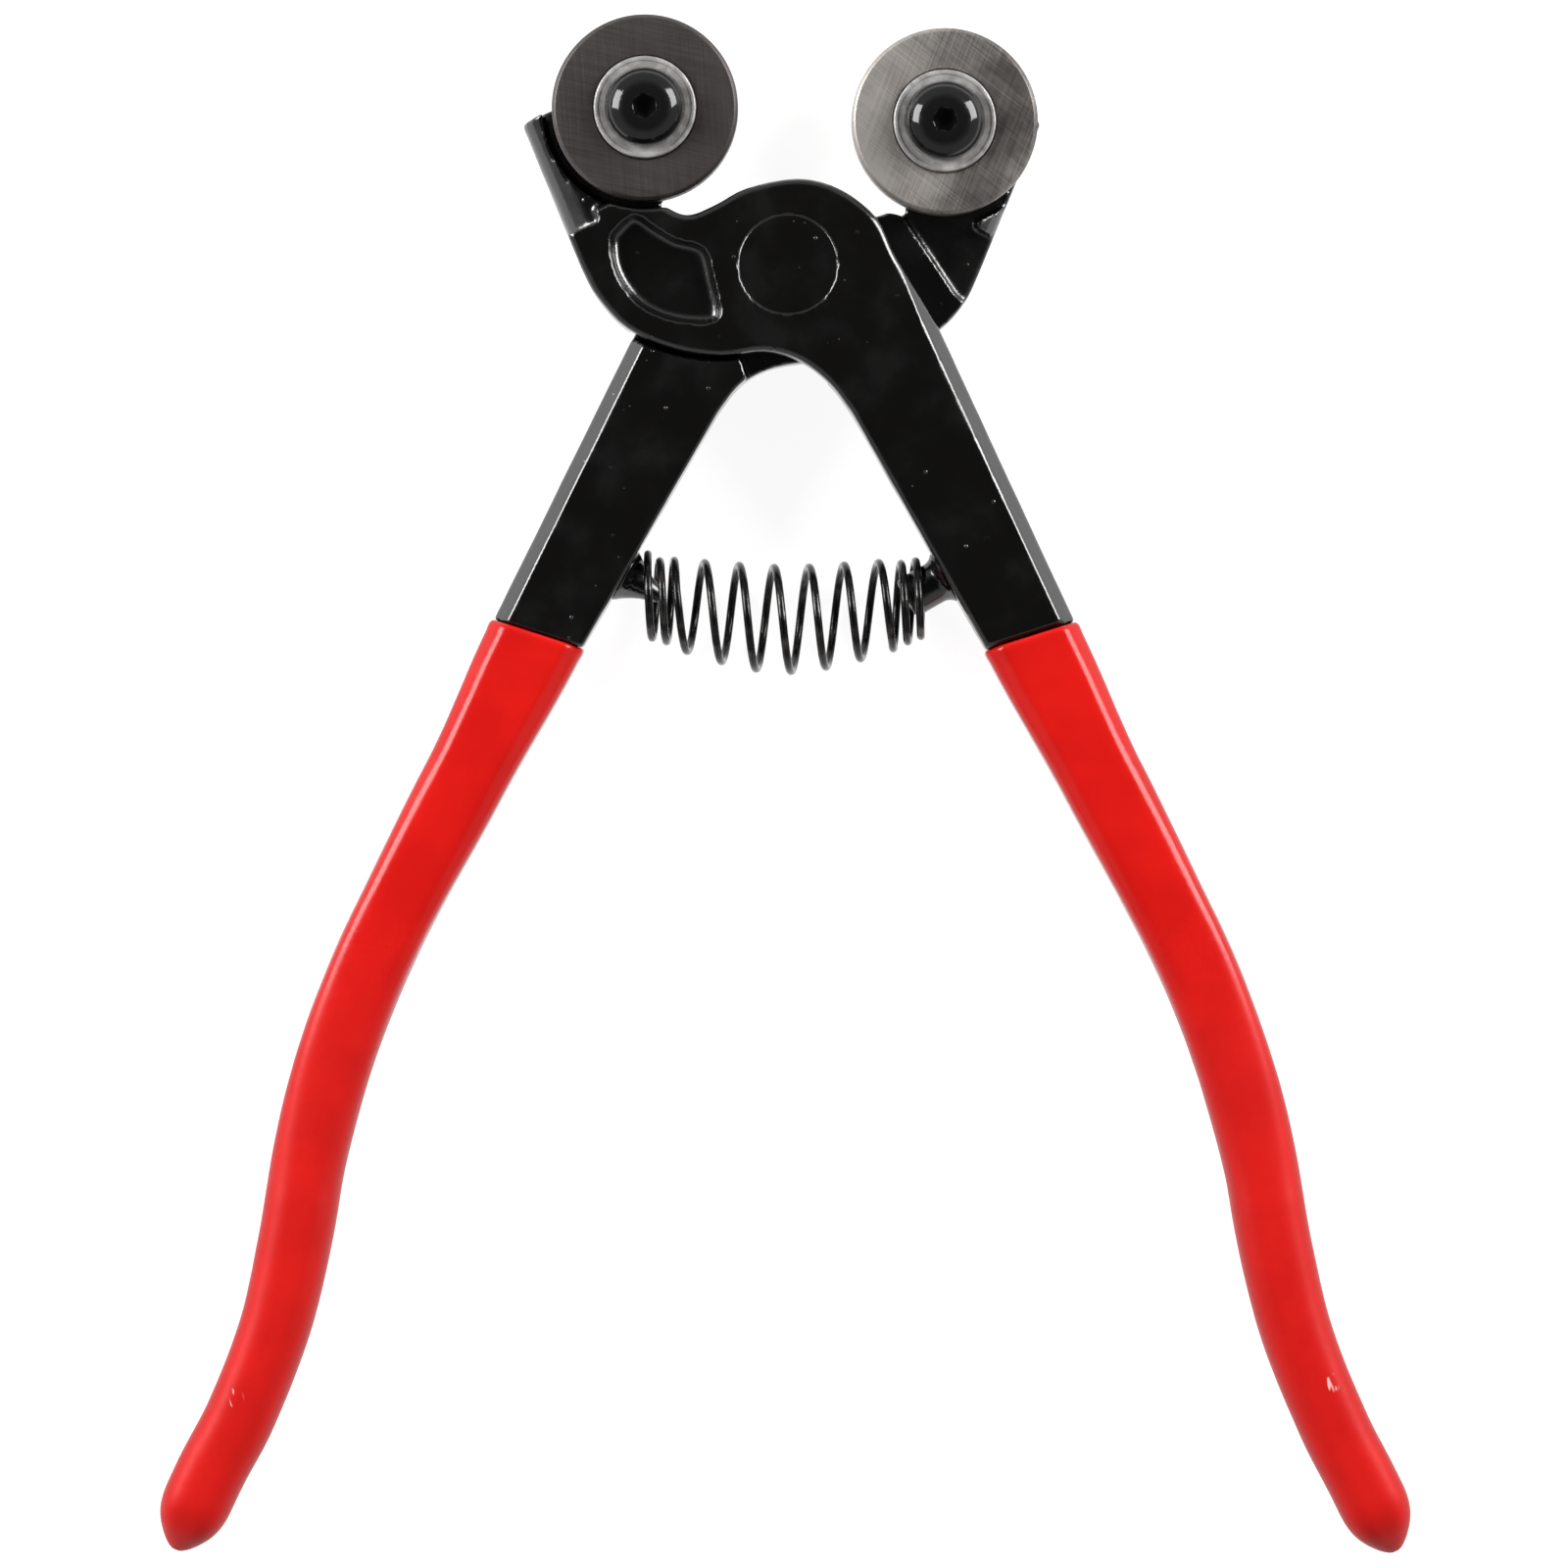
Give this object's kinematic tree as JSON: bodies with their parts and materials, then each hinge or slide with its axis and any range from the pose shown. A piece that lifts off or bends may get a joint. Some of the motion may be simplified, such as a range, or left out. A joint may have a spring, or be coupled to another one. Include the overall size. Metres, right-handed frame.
{
  "type": "mosaic glass nippers",
  "caption": "Hand nippers for mosaic glass with lapped levers, round carbide cutting wheels, a return spring and dipped grips.",
  "frame": {"origin": "on the pivot axis, in the plane of the flat back that the tool lies on", "axes": "+Y from the pivot towards the wheels, +X to the right seen from the front, +Z along the pivot axis from back to front"},
  "size_m": [0.1472, 0.181, 0.0135],
  "materials": {
    "black_paint": "gloss black stoving paint over a forging",
    "ground_carbide": "fine ground dark carbide",
    "turned_steel": "turned and grained bare steel",
    "black_oxide": "glossy black oxide",
    "spring_steel": "oiled dark spring wire",
    "red_vinyl": "dipped vinyl, satin to gloss"
  },
  "bodies": {
    "rear_lever": {"rear_lever": "black_paint", "left_grip": "red_vinyl", "pivot_rivet": "black_paint", "left_spring_stud": "black_paint", "right_wheel_bush": "turned_steel", "right_wheel_screw": "black_oxide", "return_spring": "spring_steel"},
    "front_lever": {"front_lever": "black_paint", "right_grip": "red_vinyl", "right_spring_stud": "black_paint", "left_wheel_bush": "turned_steel", "left_wheel_screw": "black_oxide"},
    "left_wheel": {"left_cutting_wheel": "ground_carbide"},
    "right_wheel": {"right_cutting_wheel": "ground_carbide"}
  },
  "joints": [
    {"name": "lever_pivot", "type": "hinge", "parent": "rear_lever", "child": "front_lever", "pos_m": [0, 0, 0.00675], "axis": [0, 0, 1], "range_deg": [-36.8, 0], "stiffness_Nm_per_rad": 0.85, "springref_deg": 9.17, "deforming": ["return_spring"]},
    {"name": "left_wheel_turn", "type": "hinge", "parent": "front_lever", "child": "left_wheel", "pos_m": [-0.0169, 0.0187, 0.00675], "axis": [0, 0, 1], "continuous": true},
    {"name": "right_wheel_turn", "type": "hinge", "parent": "rear_lever", "child": "right_wheel", "pos_m": [0.01852, 0.01709, 0.00675], "axis": [0, 0, 1], "continuous": true}
  ]
}
